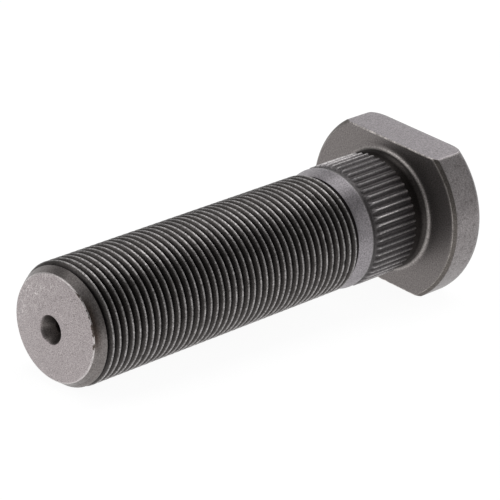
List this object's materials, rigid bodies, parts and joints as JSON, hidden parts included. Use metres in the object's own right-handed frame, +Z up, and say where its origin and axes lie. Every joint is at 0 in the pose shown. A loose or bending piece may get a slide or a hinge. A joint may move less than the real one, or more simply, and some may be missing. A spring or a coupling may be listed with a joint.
{
  "type": "wheel stud",
  "caption": "Heavy-vehicle wheel stud with a fine thread, a tapered collar, press-in serrations and a round head with two flats, lying at rest.",
  "frame": {"origin": "middle of the bounding box in plan, on the surface that the stud lies on", "axes": "+X along the stud from its threaded end to its head, +Z up from the surface; the stud's own axis rises about 2 degrees towards the head"},
  "size_m": [0.09, 0.035, 0.0276],
  "materials": {
    "dark_steel": "dark phosphated steel, satin, with fine turning marks and crests rubbed bright"
  },
  "bodies": {
    "root": {"wheel_stud": "dark_steel"}
  },
  "joints": []
}
